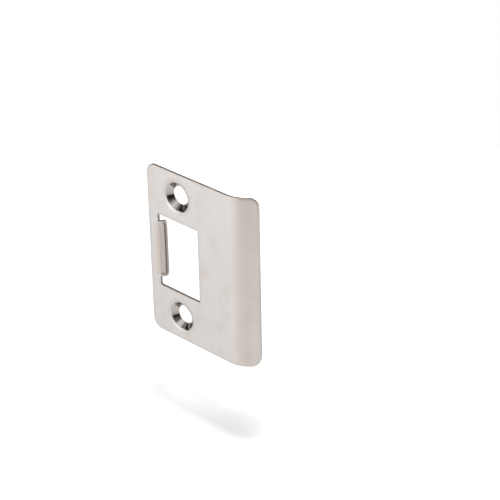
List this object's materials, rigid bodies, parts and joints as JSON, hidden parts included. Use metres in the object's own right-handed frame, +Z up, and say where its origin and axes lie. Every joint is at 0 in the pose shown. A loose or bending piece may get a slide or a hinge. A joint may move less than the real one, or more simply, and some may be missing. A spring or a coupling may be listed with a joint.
{
  "type": "door strike plate",
  "caption": "Flat stainless strike plate with a curved full lip, a rectangular latch opening with a bent tang, and countersunk dimpled screw holes.",
  "frame": {"origin": "midway between the two screw holes, on the plane of the back face that bears on the door jamb", "axes": "+X across the plate towards the lip, +Y back into the jamb, +Z up along the screw line"},
  "size_m": [0.0411, 0.0056, 0.0572],
  "materials": {
    "satin_steel": "satin stainless, finely brushed"
  },
  "bodies": {
    "root": {"strike_plate": "satin_steel"}
  },
  "joints": []
}
